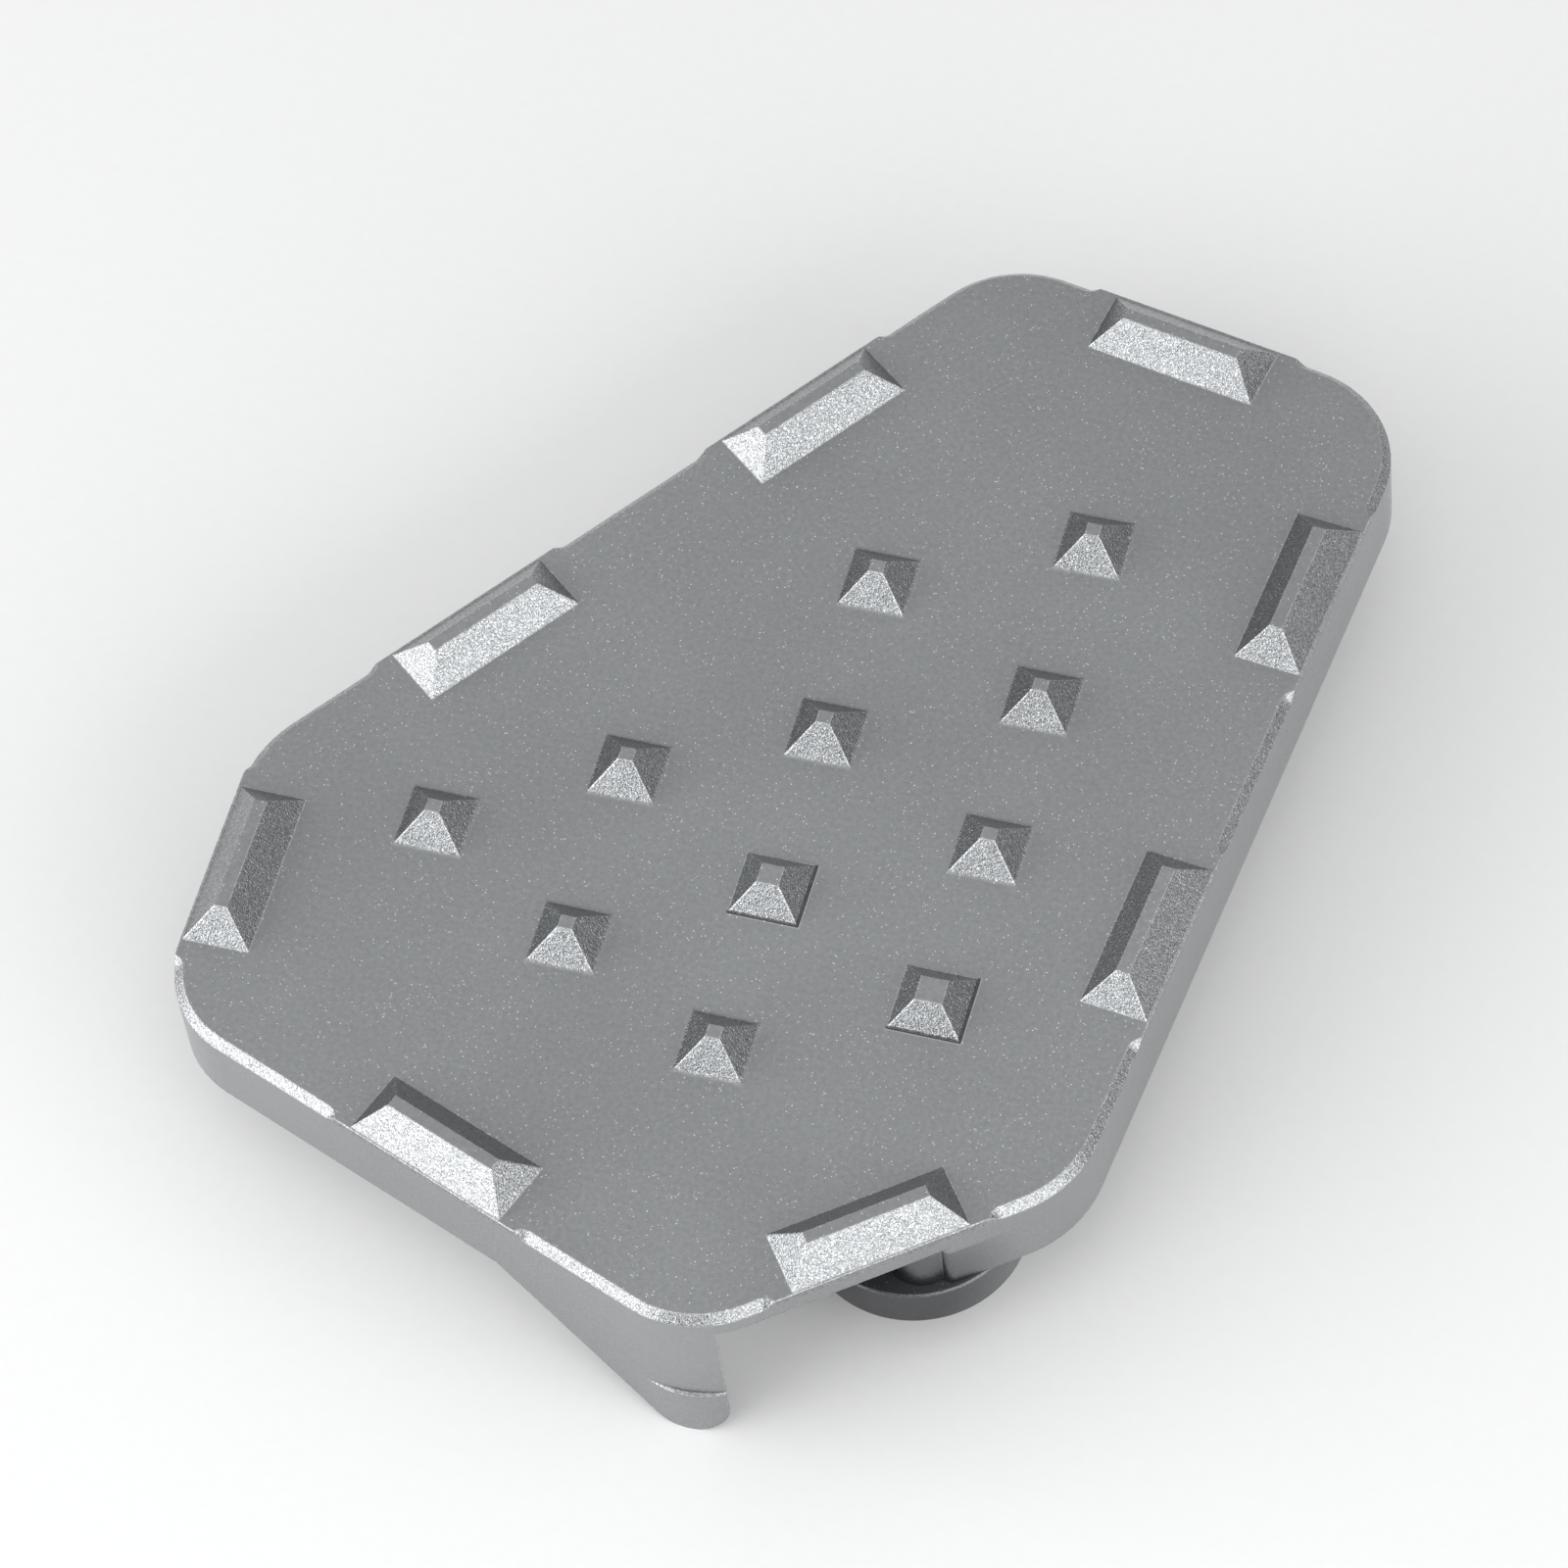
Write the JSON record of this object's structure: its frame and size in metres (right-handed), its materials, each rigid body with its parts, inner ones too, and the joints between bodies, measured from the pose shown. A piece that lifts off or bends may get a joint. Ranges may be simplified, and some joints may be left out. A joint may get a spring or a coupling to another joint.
{
  "type": "brake pedal extension",
  "caption": "Six-sided aluminium tread plate with studs and edge cleats that clamps over a motorcycle brake pedal, with a hooked lip and a clamp disc.",
  "frame": {"origin": "middle of the pocket floor, the face that rests on the brake lever's own pad", "axes": "+Z along the tread's normal, away from the lever; +X to the right and +Y toward the narrow end, along the studs' columns"},
  "size_m": [0.0742, 0.0925, 0.0177],
  "materials": {
    "anodised_plate": "blasted and clear anodised",
    "anodised_disc": "turned and clear anodised",
    "screw_steel": "stainless"
  },
  "bodies": {
    "root": {"tread_plate": "anodised_plate", "clamp_disc": "anodised_disc", "clamp_screw": "screw_steel"}
  },
  "joints": []
}
